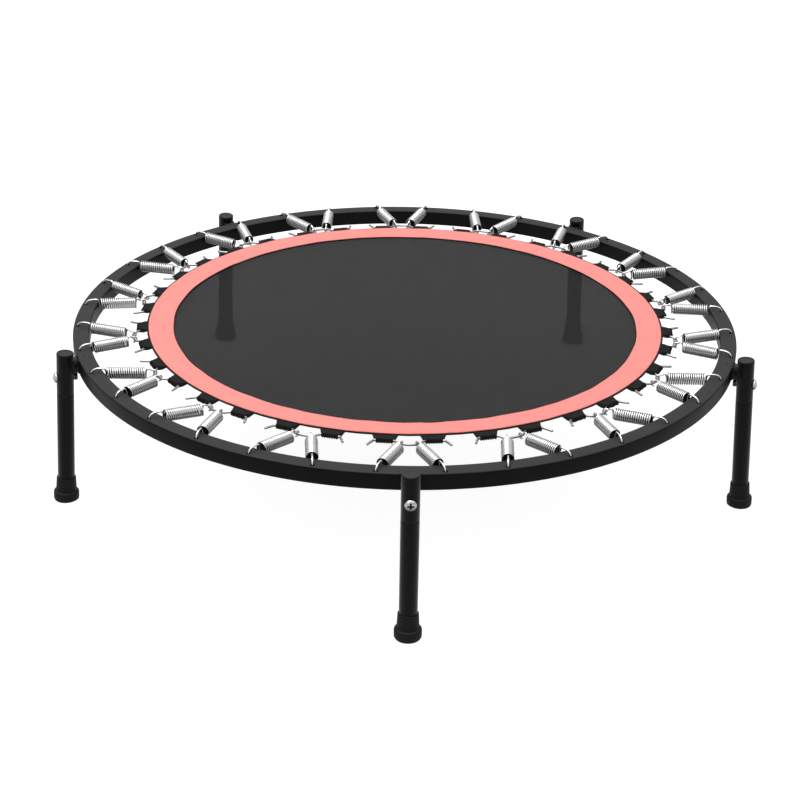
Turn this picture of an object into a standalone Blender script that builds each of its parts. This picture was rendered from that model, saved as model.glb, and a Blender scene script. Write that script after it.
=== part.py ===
"""A 40-inch mini trampoline: a square-tube ring on five bolted legs, with a woven mat hung on 36 springs.

Metres, +Z up. The origin is on the floor, at the middle of the object's outline, and the front leg
points to -Y. Around the ring everything is placed by polar stations, so most meshes are drawn in a
local frame whose +X points away from the ring's axis.
"""

import math

import bmesh
import bpy
from mathutils import Matrix, Vector

# Driving dimensions, in metres and degrees
GAP = 0.0003                    # between two pieces that touch

RING_RADIUS = 0.508             # to the outside of the tube
RING_TUBE = 0.025               # square tube, outside
RING_WALL = 0.0015
RING_TOP = 0.230                # above the floor
RING_SEGMENTS = 120

LEG_COUNT = 5
FIRST_LEG_ANGLE = -90.0
LEG_TOP_RADIUS = 0.5254         # leg axis to ring axis, at the sleeve's top
LEG_SPLAY = 3.1                 # outward lean
LEG_SIDES = 12
SLEEVE_TOP = 0.010              # above the ring's top
SLEEVE_LENGTH = 0.066
SLEEVE_RADIUS = 0.0127
SLEEVE_WALL = 0.0015
SLEEVE_PLUG = 0.003             # thickness of the closed top
BRACKET_SIZE = (0.016, 0.018, 0.019)
BRACKET_DROP = 0.0115           # its middle below the ring's top
NECK_LENGTH = 0.058             # swaged end of the leg, inside the sleeve
LEG_WALL = 0.0015
SWAGE_LENGTH = 0.006

BOLT_DROP = 0.039               # below the sleeve's top
BOLT_RADIUS = 0.003
BOLT_HOLE_RADIUS = 0.0037
BOLT_HEAD_RADIUS = 0.008
BOLT_HEAD_HEIGHT = 0.0045
NUT_RADIUS = 0.0064
NUT_HEIGHT = 0.005

FOOT_HEIGHT = 0.037
FOOT_SKIRT_TOP_RADIUS = 0.0143
FOOT_SKIRT_LOW_RADIUS = 0.0155
FOOT_BASE_RADIUS = 0.019
FOOT_BASE_HEIGHT = 0.014
FOOT_SOLE = 0.006               # rubber under the end of the leg

PAIR_COUNT = 18                 # springs hang in pairs, each pair on one link bar
HOLE_RADIUS = 0.5015            # of the circle of hook holes
HOLE_HALF_ANGLE = 5.2           # from a pair's centre line to its holes
HOLE_SIZE = 0.003               # radius of one hole
DRILL_DEPTH = 0.008             # its middle is on the ring's top face
SPRING_RADIUS = 0.0090
SPRING_WIRE = 0.0014            # wire radius
SPRING_BODY_START = 0.0230      # from the hole, along the spring
SPRING_BODY_LENGTH = 0.0535
SPRING_START_DROP = 0.001       # of the coil's axis below the ring's top
SPRING_END_DROP = 0.004
HOOK_CREST = 0.0062             # above the ring's top
HOOK_DEPTH = 0.009              # below the ring's top

BED_SIDES = 72                  # of mat and band
MAT_RADIUS = 0.397
MAT_THICKNESS = 0.0012
MAT_DROP = 0.0034               # mat's underside below the ring's top
BAND_INNER_RADIUS = 0.357
BAND_OUTER_RADIUS = 0.394
BAND_THICKNESS = 0.0012
WEBBING_INNER_RADIUS = 0.356
WEBBING_OUTER_RADIUS = 0.3955
WEBBING_THICKNESS = 0.0015
TAB_REACH = 0.4115              # outer end of a webbing tab
TAB_WIDTH = 0.028
TAB_HALF_ANGLE = 4.73           # from a pair's centre line to its tabs
BAR_RADIUS = 0.0018
BAR_IN_TAB = 0.4078             # bar to ring axis, where it passes through a tab
BAR_MIDDLE = 0.4185             # the same, halfway between the tabs
BAR_END = (0.418, 0.0565)       # out from the ring's axis, and to the side
HOOK_ON_BAR = 0.0105            # from a pair's centre line to a spring's hook
HOOK_LOOP = 0.0040              # of the hook's wire round the bar's axis

# Sizes that follow from these
LEAN = math.radians(LEG_SPLAY)
SLEEVE_TOP_HEIGHT = RING_TOP + SLEEVE_TOP
LEG_FLOOR_RADIUS = LEG_TOP_RADIUS + SLEEVE_TOP_HEIGHT * math.tan(LEAN)
LEG_AXIS_LENGTH = SLEEVE_TOP_HEIGHT / math.cos(LEAN)
SHOULDER = LEG_AXIS_LENGTH - SLEEVE_LENGTH - GAP
BOLT_HEIGHT = LEG_AXIS_LENGTH - BOLT_DROP
MAT_BOTTOM = RING_TOP - MAT_DROP
WEBBING_BOTTOM = MAT_BOTTOM + MAT_THICKNESS + GAP
BAND_BOTTOM = WEBBING_BOTTOM + WEBBING_THICKNESS + GAP
BAR_HEIGHT = WEBBING_BOTTOM + WEBBING_THICKNESS / 2


def clear_scene():
    for obj in list(bpy.data.objects):
        bpy.data.objects.remove(obj, do_unlink=True)


def polar(radius, degrees, height=0.0):
    turn = math.radians(degrees)
    return Vector((radius * math.cos(turn), radius * math.sin(turn), height))


def material(name, color, roughness, metallic=0.0):
    made = bpy.data.materials.new(name)
    made.use_nodes = True
    shader = made.node_tree.nodes["Principled BSDF"]
    shader.inputs["Base Color"].default_value = (*color, 1.0)
    shader.inputs["Roughness"].default_value = roughness
    shader.inputs["Metallic"].default_value = metallic
    made.diffuse_color = (*color, 1.0)
    return made


def make_materials():
    return {
        "ring": material("charcoal_powder_coat", (0.075, 0.075, 0.077), 0.45),
        "tube": material("black_powder_coat", (0.012, 0.012, 0.013), 0.4),
        "foot": material("black_rubber", (0.008, 0.008, 0.008), 0.7),
        "zinc": material("bright_zinc", (0.72, 0.73, 0.74), 0.28, 1.0),
        "mat": material("woven_black_mesh", (0.045, 0.045, 0.046), 0.75),
        "webbing": material("black_webbing", (0.012, 0.012, 0.012), 0.85),
        "band": material("coral_tape", (1.0, 0.33, 0.29), 0.65),
    }


def mesh_from(bm, name):
    bmesh.ops.recalc_face_normals(bm, faces=bm.faces)
    mesh = bpy.data.meshes.new(name)
    bm.to_mesh(mesh)
    bm.free()
    mesh.shade_smooth()
    mesh.set_sharp_from_angle(angle=math.radians(35))
    return mesh


def place(name, mesh, finish, parent=None, location=(0, 0, 0), turn=0.0):
    if not mesh.materials:
        mesh.materials.append(finish)
    obj = bpy.data.objects.new(name, mesh)
    obj.location = location
    obj.rotation_euler.z = turn
    obj.parent = parent
    bpy.context.scene.collection.objects.link(obj)
    return obj


def empty(name, parent=None, location=(0, 0, 0), rotation=(0, 0, 0)):
    obj = bpy.data.objects.new(name, None)
    obj.location = location
    obj.rotation_euler = rotation
    obj.parent = parent
    bpy.context.scene.collection.objects.link(obj)
    return obj


def turned(profile, sides, closed=True):
    """A bmesh turned about Z. A closed profile makes a tube; an open one starts and ends on the axis."""
    bm = bmesh.new()
    rings = []
    for radius, height in profile:
        if radius < 1e-9:
            rings.append([bm.verts.new((0, 0, height))])
        else:
            rings.append([bm.verts.new(polar(radius, 360 * i / sides, height)) for i in range(sides)])
    pairs = list(zip(rings, rings[1:]))
    if closed:
        pairs.append((rings[-1], rings[0]))
    for low, high in pairs:
        for i in range(sides):
            from_low = [low[i % len(low)], low[(i + 1) % len(low)]]
            to_high = [high[(i + 1) % len(high)], high[i % len(high)]]
            bm.faces.new(list(dict.fromkeys(from_low + to_high)))
    return bm


def swept(stations, sides):
    """A closed bmesh through stations, each a centre, the direction of travel and a radius."""
    bm = bmesh.new()
    rings = []
    for centre, direction, radius in stations:
        across = Vector((0, 0, 1)).cross(direction)
        side = across.normalized() if across.length > 1e-6 else Vector((0, 1, 0))
        upward = direction.normalized().cross(side)
        ring = []
        for i in range(sides):
            angle = 2 * math.pi * (i + 0.5) / sides
            spoke = math.cos(angle) * side + math.sin(angle) * upward
            ring.append(bm.verts.new(centre + radius * spoke))
        rings.append(ring)
    for low, high in zip(rings, rings[1:]):
        for i in range(sides):
            bm.faces.new((low[i], low[(i + 1) % sides], high[(i + 1) % sides], high[i]))
    bm.faces.new(rings[0])
    bm.faces.new(rings[-1])
    return bm


def rod_x(radius, start, end, height, sides=8):
    """A closed round rod along X."""
    ends = [(Vector((x, 0, height)), Vector((1, 0, 0)), radius) for x in (start, end)]
    return swept(ends, sides)


def carved(name, body, joined=(), cut=()):
    """One mesh: body with the joined shapes added, then the cut shapes taken away."""
    base = bpy.data.objects.new(name, mesh_from(body, name))
    bpy.context.scene.collection.objects.link(base)
    helpers = []
    for operation, shapes in (("UNION", joined), ("DIFFERENCE", cut)):
        for shape in shapes:
            helper = bpy.data.objects.new(name + "_helper", mesh_from(shape, name + "_helper"))
            helper.hide_render = True
            helper.display_type = "WIRE"
            bpy.context.scene.collection.objects.link(helper)
            modifier = base.modifiers.new(operation.lower(), "BOOLEAN")
            modifier.operation = operation
            modifier.solver = "EXACT"
            modifier.object = helper
            helpers.append(helper)
    bpy.context.view_layer.update()
    graph = bpy.context.evaluated_depsgraph_get()
    mesh = bpy.data.meshes.new_from_object(base.evaluated_get(graph), depsgraph=graph)
    for used in (base, *helpers):
        bpy.data.objects.remove(used, do_unlink=True)
    mesh.name = name
    mesh.shade_smooth()
    mesh.set_sharp_from_angle(angle=math.radians(35))
    return mesh


def box(size, centre):
    bm = bmesh.new()
    bmesh.ops.create_cube(bm, size=1.0, matrix=Matrix.Translation(centre) @ Matrix.Diagonal((*size, 1)))
    return bm


def hole_angles():
    for pair in range(PAIR_COUNT):
        middle = FIRST_LEG_ANGLE + 360 / PAIR_COUNT * pair
        for side in (-1, 1):
            yield middle, side, middle + side * HOLE_HALF_ANGLE


def square_ring(inside, outside, low, high):
    profile = [(inside, low), (outside, low), (outside, high), (inside, high)]
    return turned(profile, RING_SEGMENTS)


def ring_mesh():
    """Hollow square tube bent into a hoop, with a hole in its top face for each spring's hook."""
    inner = RING_RADIUS - RING_TUBE
    low = RING_TOP - RING_TUBE
    tube = square_ring(inner, RING_RADIUS, low, RING_TOP)
    hollow = square_ring(inner + RING_WALL, RING_RADIUS - RING_WALL, low + RING_WALL, RING_TOP - RING_WALL)
    drills = bmesh.new()
    for _, _, angle in hole_angles():
        bmesh.ops.create_cone(
            drills,
            cap_ends=True,
            segments=6,
            radius1=HOLE_SIZE,
            radius2=HOLE_SIZE,
            depth=DRILL_DEPTH,
            matrix=Matrix.Translation(polar(HOLE_RADIUS, angle, RING_TOP)),
        )
    return carved("frame_ring", tube, cut=(hollow, drills))


def sleeve_mesh():
    """Closed-top socket for a leg, with the bracket that is welded to the ring."""
    top, bottom = LEG_AXIS_LENGTH, LEG_AXIS_LENGTH - SLEEVE_LENGTH
    bore = SLEEVE_RADIUS - SLEEVE_WALL
    chamfer = 0.0015
    outside = [
        (0, bottom),
        (SLEEVE_RADIUS, bottom),
        (SLEEVE_RADIUS, top - chamfer),
        (SLEEVE_RADIUS - chamfer, top),
        (0, top),
    ]
    inside = [(0, bottom - 0.01), (bore, bottom - 0.01), (bore, top - SLEEVE_PLUG), (0, top - SLEEVE_PLUG)]
    length, width, height = BRACKET_SIZE
    bracket = box((length, width, height), (0, 0, 0))
    bracket.transform(Matrix.Translation((RING_RADIUS + GAP + length / 2, 0, RING_TOP - BRACKET_DROP)))
    bracket.transform(leg_frame().inverted())
    drill = rod_x(BOLT_HOLE_RADIUS, -0.03, 0.03, BOLT_HEIGHT)
    body = turned(outside, LEG_SIDES, closed=False)
    bore_shape = turned(inside, LEG_SIDES, closed=False)
    return carved("leg_sleeve", body, (bracket,), (bore_shape, drill))


def leg_mesh():
    """Round tube with a narrowed neck that slides up into the sleeve."""
    neck = SLEEVE_RADIUS - SLEEVE_WALL - GAP
    top = SHOULDER + NECK_LENGTH
    bottom = FOOT_SOLE + GAP
    tube = turned(
        [
            (SLEEVE_RADIUS, bottom),
            (SLEEVE_RADIUS, SHOULDER),
            (neck, SHOULDER),
            (neck, top),
            (neck - LEG_WALL, top),
            (neck - LEG_WALL, SHOULDER - SWAGE_LENGTH / 2),
            (SLEEVE_RADIUS - LEG_WALL, SHOULDER - SWAGE_LENGTH),
            (SLEEVE_RADIUS - LEG_WALL, bottom),
        ],
        LEG_SIDES,
    )
    return carved("leg_tube", tube, cut=(rod_x(BOLT_HOLE_RADIUS, -0.03, 0.03, BOLT_HEIGHT),))


def bolt_mesh():
    """Dome-head bolt through sleeve and neck, with its nut on the inner side."""
    face = SLEEVE_RADIUS + GAP
    profile = [
        (0, -face - NUT_HEIGHT - 0.002),
        (BOLT_RADIUS, -face - NUT_HEIGHT - 0.002),
        (BOLT_RADIUS, -face - NUT_HEIGHT),
        (NUT_RADIUS, -face - NUT_HEIGHT),
        (NUT_RADIUS, -face),
        (BOLT_RADIUS, -face),
        (BOLT_RADIUS, face),
        (BOLT_HEAD_RADIUS, face),
        (BOLT_HEAD_RADIUS * 0.8, face + BOLT_HEAD_HEIGHT * 0.7),
        (0, face + BOLT_HEAD_HEIGHT),
    ]
    bm = turned(profile, 6, closed=False)
    bm.transform(Matrix.Translation((0, 0, BOLT_HEIGHT)) @ Matrix.Rotation(math.pi / 2, 4, "Y"))
    return mesh_from(bm, "leg_bolt")


def leg_frame():
    """Leg frame in its station frame: Z runs up the leaning axis, from the floor to the sleeve's top."""
    return Matrix.Translation((LEG_FLOOR_RADIUS, 0, 0)) @ Matrix.Rotation(-LEAN, 4, "Y")


def foot_mesh():
    """Rubber boot on the end of the leg, leaning with it but with a level sole."""
    socket = SLEEVE_RADIUS + GAP
    boot = turned(
        [
            (0, -0.004),
            (FOOT_BASE_RADIUS, -0.004),
            (FOOT_BASE_RADIUS, FOOT_BASE_HEIGHT),
            (FOOT_SKIRT_LOW_RADIUS, FOOT_BASE_HEIGHT + 0.002),
            (FOOT_SKIRT_TOP_RADIUS, FOOT_HEIGHT),
            (socket, FOOT_HEIGHT),
            (socket, FOOT_SOLE),
            (0, FOOT_SOLE),
        ],
        LEG_SIDES,
        closed=False,
    )
    boot.transform(leg_frame())
    cut = bmesh.ops.bisect_plane(
        boot,
        geom=boot.verts[:] + boot.edges[:] + boot.faces[:],
        plane_co=(0, 0, 0),
        plane_no=(0, 0, -1),
        clear_outer=True,
    )
    rim = [piece for piece in cut["geom_cut"] if isinstance(piece, bmesh.types.BMEdge)]
    bmesh.ops.contextual_create(boot, geom=rim)
    return mesh_from(boot, "leg_foot")


def spring_length():
    """From the hook hole to the link bar, and the spring's turn away from its pair's centre line."""
    hole = polar(HOLE_RADIUS, HOLE_HALF_ANGLE)
    hook = Vector((bar_reach(HOOK_ON_BAR), HOOK_ON_BAR, 0))
    run = hole - hook
    return run.length, math.atan2(run.y, run.x)


def spring_mesh():
    """A close-wound spring as its outer shape, along -X from its hole: hook, coil body, hook on the bar."""
    length, _ = spring_length()
    coil_end = SPRING_BODY_START + SPRING_BODY_LENGTH
    leave = SPRING_RADIUS - SPRING_WIRE
    along, upward = Vector((-1, 0, 0)), Vector((0, 0, 1))
    route = [
        (0.0, -HOOK_DEPTH, upward, SPRING_WIRE),
        (0.0, HOOK_CREST * 0.5, upward, SPRING_WIRE),
        (HOOK_CREST * 0.6, HOOK_CREST, along + upward * 0.2, SPRING_WIRE),
        (SPRING_BODY_START, leave - SPRING_START_DROP, along, SPRING_WIRE),
        (SPRING_BODY_START + GAP, -SPRING_START_DROP, along, SPRING_RADIUS),
        (coil_end - GAP, -SPRING_END_DROP, along, SPRING_RADIUS),
        (coil_end, leave - SPRING_END_DROP, along, SPRING_WIRE),
    ]
    for degrees in (90, 35, -20, -75):
        turn = math.radians(degrees)
        heading = along * math.sin(turn) - upward * math.cos(turn)
        height = BAR_HEIGHT - RING_TOP + HOOK_LOOP * math.sin(turn)
        route.append((length + HOOK_LOOP * math.cos(turn), height, heading, SPRING_WIRE))
    stations = [(Vector((-x, 0, z)), heading, radius) for x, z, heading, radius in route]
    return mesh_from(swept(stations, 6), "spring")


def bar_reach(side):
    """How far out the bulge of a link bar lies, this far to the side of its pair's centre line."""
    half_gap = BAR_IN_TAB * math.sin(math.radians(TAB_HALF_ANGLE)) - TAB_WIDTH / 2
    return BAR_IN_TAB + (BAR_MIDDLE - BAR_IN_TAB) * math.sqrt(max(0, 1 - (side / half_gap) ** 2))


def bar_shape(pair_angle):
    """Bent link wire: both ends kick outwards, and its middle bulges towards the ring."""
    tab = polar(BAR_IN_TAB, TAB_HALF_ANGLE)
    along_tab = polar(TAB_WIDTH / 2, TAB_HALF_ANGLE + 90)
    inner_corner = tab - along_tab
    half = [
        Vector((bar_reach(0), 0, 0)),
        Vector((bar_reach(HOOK_ON_BAR), HOOK_ON_BAR, 0)),
        inner_corner,
        tab + along_tab * 1.1,
        Vector((*BAR_END, 0)),
    ]
    mirrored = [Vector((point.x, -point.y, 0)) for point in reversed(half[1:])]
    points = mirrored + half
    stations = []
    for i, point in enumerate(points):
        before, after = points[max(i - 1, 0)], points[min(i + 1, len(points) - 1)]
        stations.append((point, after - before, BAR_RADIUS))
    bm = swept(stations, 5)
    bm.transform(Matrix.Translation((0, 0, BAR_HEIGHT)) @ Matrix.Rotation(math.radians(pair_angle), 4, "Z"))
    return bm


def webbing_outline():
    """Outer outline of the webbing hoop with its 36 tabs, going round once."""
    half = TAB_WIDTH / 2
    root = math.sqrt(WEBBING_OUTER_RADIUS ** 2 - half ** 2)
    for pair in range(PAIR_COUNT):
        middle = FIRST_LEG_ANGLE + 360 / PAIR_COUNT * pair
        for side in (-1, 1):
            angle = middle + side * TAB_HALF_ANGLE
            spin = Matrix.Rotation(math.radians(angle), 4, "Z")
            for out, across in ((root, -half), (TAB_REACH, -half), (TAB_REACH, half), (root, half)):
                yield spin @ Vector((out, across, 0))
        yield polar(WEBBING_OUTER_RADIUS, middle + 180 / PAIR_COUNT)


def webbing_mesh():
    """Webbing hoop sewn between mat and band, with the 18 link bars caught in its tabs."""
    bm = bmesh.new()
    outer = [bm.verts.new(point) for point in webbing_outline()]
    count = PAIR_COUNT * 4
    inner = [
        bm.verts.new(polar(WEBBING_INNER_RADIUS, FIRST_LEG_ANGLE + 360 * i / count))
        for i in range(count)
    ]
    edges = [bm.edges.new((loop[i - 1], loop[i])) for loop in (outer, inner) for i in range(len(loop))]
    flat = bmesh.ops.triangle_fill(bm, use_beauty=True, use_dissolve=False, edges=edges, normal=(0, 0, 1))
    faces = [piece for piece in flat["geom"] if isinstance(piece, bmesh.types.BMFace)]
    raised = bmesh.ops.extrude_face_region(bm, geom=faces, use_keep_orig=True)
    lifted = [piece for piece in raised["geom"] if isinstance(piece, bmesh.types.BMVert)]
    bmesh.ops.translate(bm, verts=lifted, vec=(0, 0, WEBBING_THICKNESS))
    bm.transform(Matrix.Translation((0, 0, WEBBING_BOTTOM)))
    bars = bmesh.new()
    for pair in range(PAIR_COUNT):
        bar = bar_shape(FIRST_LEG_ANGLE + 360 / PAIR_COUNT * pair)
        shape = bpy.data.meshes.new("bar")
        bmesh.ops.recalc_face_normals(bar, faces=bar.faces)
        bar.to_mesh(shape)
        bar.free()
        bars.from_mesh(shape)
        bpy.data.meshes.remove(shape)
    return carved("webbing_hoop", bm, (bars,))


def flat_hoop(name, inside, outside, low, high):
    profile = [(inside, low), (outside, low), (outside, high), (inside, high)]
    return mesh_from(turned(profile, BED_SIDES), name)


def mat_mesh():
    top = MAT_BOTTOM + MAT_THICKNESS
    profile = [(0, MAT_BOTTOM), (MAT_RADIUS, MAT_BOTTOM), (MAT_RADIUS, top), (0, top)]
    return mesh_from(turned(profile, BED_SIDES, closed=False), "jump_mat")


def build_frame(root, finishes):
    place("frame_ring", ring_mesh(), finishes["ring"], root)
    sleeve, tube, bolt, foot = sleeve_mesh(), leg_mesh(), bolt_mesh(), foot_mesh()
    for number in range(LEG_COUNT):
        angle = math.radians(FIRST_LEG_ANGLE + 360 / LEG_COUNT * number)
        station = empty(f"leg_station_{number + 1}", root, rotation=(0, 0, angle))
        axis = empty(f"leg_axis_{number + 1}", station, (LEG_FLOOR_RADIUS, 0, 0), (0, -LEAN, 0))
        place(f"leg_sleeve_{number + 1}", sleeve, finishes["tube"], axis)
        place(f"leg_tube_{number + 1}", tube, finishes["tube"], axis)
        place(f"leg_bolt_{number + 1}", bolt, finishes["zinc"], axis)
        place(f"leg_foot_{number + 1}", foot, finishes["foot"], station)
    return foot


def build_springs(root, finishes):
    mesh = spring_mesh()
    _, lean = spring_length()
    for number, (middle, side, angle) in enumerate(hole_angles()):
        place(
            f"spring_{number + 1:02d}",
            mesh,
            finishes["zinc"],
            root,
            polar(HOLE_RADIUS, angle, RING_TOP),
            math.radians(middle) + side * lean,
        )


def build_bed(root, finishes):
    """The bed's edge and its middle slide straight down, so their empties stand on the ring's axis."""
    edge = empty("bed_edge_axis", root)
    centre = empty("bed_centre_axis", edge)
    place("webbing_hoop", webbing_mesh(), finishes["webbing"], edge)
    band_top = BAND_BOTTOM + BAND_THICKNESS
    band = flat_hoop("edge_band", BAND_INNER_RADIUS, BAND_OUTER_RADIUS, BAND_BOTTOM, band_top)
    place("edge_band", band, finishes["band"], edge)
    place("jump_mat", mat_mesh(), finishes["mat"], centre)


def main():
    clear_scene()
    finishes = make_materials()
    root = empty("ring_axis")
    foot = build_frame(root, finishes)
    build_springs(root, finishes)
    build_bed(root, finishes)
    # The front foot reaches further than the ring's back edge, so the ring's axis is behind the origin.
    foot_reach = max(vertex.co.x for vertex in foot.vertices)
    root.location.y = (foot_reach - RING_RADIUS) / 2
    bpy.context.view_layer.update()
    print(f"ring axis at y = {root.location.y:.5f} m, front foot reaches {foot_reach:.5f} m from it")


main()
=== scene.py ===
# %% [markdown]
# # A mini trampoline, piece by piece
# The real object is a hoop of square steel tube on five bolted legs. A woven mat hangs inside the hoop on
# 36 zinc springs. The springs work in pairs: both hook onto one bent wire bar, and the bar is held by two
# webbing tabs that are sewn to the mat under a coral tape. This script dresses the imported frame: it makes
# each piece in fine detail in the place that its plain solid holds, and ties each rigid piece to the body
# that it moves with.

# %% Load the frame
import math

import bmesh
import bpy
import numpy as np
from mathutils import Matrix, Vector


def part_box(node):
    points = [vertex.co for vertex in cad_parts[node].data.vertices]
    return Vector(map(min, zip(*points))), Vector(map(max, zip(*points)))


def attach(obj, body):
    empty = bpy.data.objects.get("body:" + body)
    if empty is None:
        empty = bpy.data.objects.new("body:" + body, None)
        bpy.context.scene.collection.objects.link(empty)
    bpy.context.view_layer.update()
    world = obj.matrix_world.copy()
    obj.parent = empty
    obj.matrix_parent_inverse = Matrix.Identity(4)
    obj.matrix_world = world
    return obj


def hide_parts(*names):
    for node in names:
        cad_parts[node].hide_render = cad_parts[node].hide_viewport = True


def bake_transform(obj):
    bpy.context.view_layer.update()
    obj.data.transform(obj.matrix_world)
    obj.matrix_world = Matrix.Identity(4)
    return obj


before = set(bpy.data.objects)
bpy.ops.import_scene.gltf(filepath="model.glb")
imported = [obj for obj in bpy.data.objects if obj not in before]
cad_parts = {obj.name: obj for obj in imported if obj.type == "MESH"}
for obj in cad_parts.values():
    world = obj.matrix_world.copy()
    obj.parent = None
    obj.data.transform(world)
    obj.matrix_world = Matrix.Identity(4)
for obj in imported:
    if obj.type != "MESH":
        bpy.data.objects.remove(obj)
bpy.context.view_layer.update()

# %% [markdown]
# Every place is measured from the frame. The ring's box gives the hoop's axis, its outer radius and the
# height of its top face. The smaller sizes below are those that the boxes can't tell, in metres and
# degrees.

# %% Measure the frame
ring_low, ring_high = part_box("frame_ring")
mat_low, mat_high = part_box("jump_mat")
band_low, band_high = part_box("edge_band")
RING_RADIUS = (ring_high.x - ring_low.x) / 2
RING_TOP = ring_high.z
TUBE_SIZE = ring_high.z - ring_low.z
AXIS = Vector((0, (ring_low.y + ring_high.y) / 2, 0))
MAT_RADIUS = (mat_high.x - mat_low.x) / 2
BAND_OUTER = (band_high.x - band_low.x) / 2
BAND_INNER = 0.357
FIRST_ANGLE = -90.0             # the front leg, and the first pair of springs
LEGS = 5
PAIRS = 18
print(f"ring {2 * RING_RADIUS:.3f} m across, top face at {RING_TOP:.3f} m, mat {2 * MAT_RADIUS:.3f} m across")


def polar(radius, degrees, height=0.0):
    turn = math.radians(degrees)
    return Vector((radius * math.cos(turn), radius * math.sin(turn), height))


# %% [markdown]
# Three shapes come back all the time, so they get helpers. Most metal pieces are turned, like work on a
# lathe: a profile runs round an axis. All wire is swept: a circle follows a line. And a few bent lines
# have to be smooth, for which a Catmull-Rom curve is handy, because it passes through the very points
# that were chosen.

# %% Helpers for shapes
def as_mesh(name, points, faces, sharp=35):
    mesh = bpy.data.meshes.new(name)
    mesh.from_pydata([tuple(p) for p in points], [], faces)
    bm = bmesh.new()
    bm.from_mesh(mesh)
    bmesh.ops.remove_doubles(bm, verts=bm.verts, dist=1e-6)
    bmesh.ops.recalc_face_normals(bm, faces=bm.faces)
    bm.to_mesh(mesh)
    bm.free()
    mesh.shade_smooth()
    mesh.set_sharp_from_angle(angle=math.radians(sharp))
    return mesh


def turned(name, profile, sides=48, closed=True, sharp=35):
    """A profile of (radius, height) points turned about Z. An open one meets the axis."""
    rows = np.array(profile, float)
    angles = np.linspace(0, 2 * math.pi, sides, endpoint=False)
    points = [(r * math.cos(a), r * math.sin(a), z) for r, z in rows for a in angles]
    count = len(rows)
    faces = []
    for row in range(count if closed else count - 1):
        above = (row + 1) % count
        for i in range(sides):
            j = (i + 1) % sides
            faces.append((row * sides + i, row * sides + j, above * sides + j, above * sides + i))
    return as_mesh(name, points, faces, sharp)


def rounded(corners, radius, steps=4):
    """The same outline with every corner of a closed (x, y) outline rounded off by an arc."""
    outline = []
    corners = [Vector(c) for c in corners]
    for before, corner, after in zip(corners[-1:] + corners[:-1], corners, corners[1:] + corners[:1]):
        back, ahead = (before - corner).normalized(), (after - corner).normalized()
        half = back.angle(ahead) / 2
        reach = min(radius / math.tan(half), 0.45 * (before - corner).length, 0.45 * (after - corner).length)
        start, end = corner + back * reach, corner + ahead * reach
        for k in range(steps + 1):
            t = k / steps
            outline.append(tuple(start * (1 - t) ** 2 + corner * 2 * t * (1 - t) + end * t ** 2))
    return outline


def smooth_line(knots, step=0.0012):
    """Points on a Catmull-Rom curve through the knots."""
    knots = np.array(knots, float)
    padded = np.vstack([2 * knots[0] - knots[1], knots, 2 * knots[-1] - knots[-2]])
    line = []
    for a, b, c, d in zip(padded, padded[1:], padded[2:], padded[3:]):
        count = max(2, round(np.linalg.norm(c - b) / step))
        for t in np.arange(count) / count:
            bend, twist = 2 * a - 5 * b + 4 * c - d, 3 * b - a - 3 * c + d
            line.append(0.5 * (2 * b + (c - a) * t + bend * t * t + twist * t ** 3))
    return np.vstack([line, knots[-1]])


def swept(line, radius, sides=10, tip=0.6):
    """Points and faces of a wire along a line, with both ends rounded off."""
    line = np.array(line, float)
    heading = np.gradient(line, axis=0)
    heading /= np.linalg.norm(heading, axis=1)[:, None]
    side = np.cross(heading[0], (0.3, 0.1, 1.0))
    rings = []
    for point, along in zip(line, heading):
        side = side - along * (side @ along)
        side /= np.linalg.norm(side)
        rings.append((point, along, side, np.cross(along, side)))
    loops = []
    for k, (point, along, side, up) in enumerate(rings):
        if k == 0:
            loops.append((point - along * radius * tip, side, up, 0.3 * radius))
            loops.append((point - along * radius * tip * 0.7, side, up, 0.75 * radius))
        loops.append((point, side, up, radius))
        if k == len(rings) - 1:
            loops.append((point + along * radius * tip * 0.7, side, up, 0.75 * radius))
            loops.append((point + along * radius * tip, side, up, 0.3 * radius))
    angles = np.linspace(0, 2 * math.pi, sides, endpoint=False)
    points = [c + r * (math.cos(a) * s + math.sin(a) * u) for c, s, u, r in loops for a in angles]
    faces = []
    for row in range(len(loops) - 1):
        for i in range(sides):
            j = (i + 1) % sides
            faces.append((row * sides + i, row * sides + j, (row + 1) * sides + j, (row + 1) * sides + i))
    faces.append(tuple(range(sides))[::-1])
    faces.append(tuple(range((len(loops) - 1) * sides, len(loops) * sides)))
    return np.array(points), faces


# %% [markdown]
# A piece is finished in the same few moves each time: give its mesh a name, a material and a place, say
# which body it moves with, and say which plain solid it stands for. One function does all of that.

# %% Helper for placing pieces
def place(name, mesh, material, body, matrix=None, stands_for=()):
    if not mesh.materials:
        mesh.materials.append(material)
    piece = bpy.data.objects.new(name, mesh)
    piece.matrix_world = matrix or Matrix.Identity(4)
    bpy.context.scene.collection.objects.link(piece)
    if body:
        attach(piece, body)
    if stands_for:
        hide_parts(*stands_for)
    return piece


# %% [markdown]
# ## Finishes
# Each finish is a Principled BSDF whose colour, roughness and bump change over the surface. What several
# finishes share is a node group, built once. The first group is fine grain: two noises, one for the small
# bumps of a sprayed or moulded skin, and one for slow changes of tone and gloss, like handling marks and
# dust.

# %% Helpers for node trees
def add_node(tree, kind, **settings):
    node = tree.nodes.new(kind)
    for key, value in settings.items():
        if key in node.inputs.keys():
            node.inputs[key].default_value = value
        else:
            setattr(node, key, value)
    return node


def math_node(tree, operation, first, second=None):
    node = tree.nodes.new("ShaderNodeMath")
    node.operation = operation
    for socket, value in zip(node.inputs, (first, second)):
        if value is None:
            continue
        if isinstance(value, bpy.types.NodeSocket):
            tree.links.new(value, socket)
        else:
            socket.default_value = value
    return node.outputs[0]


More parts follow.
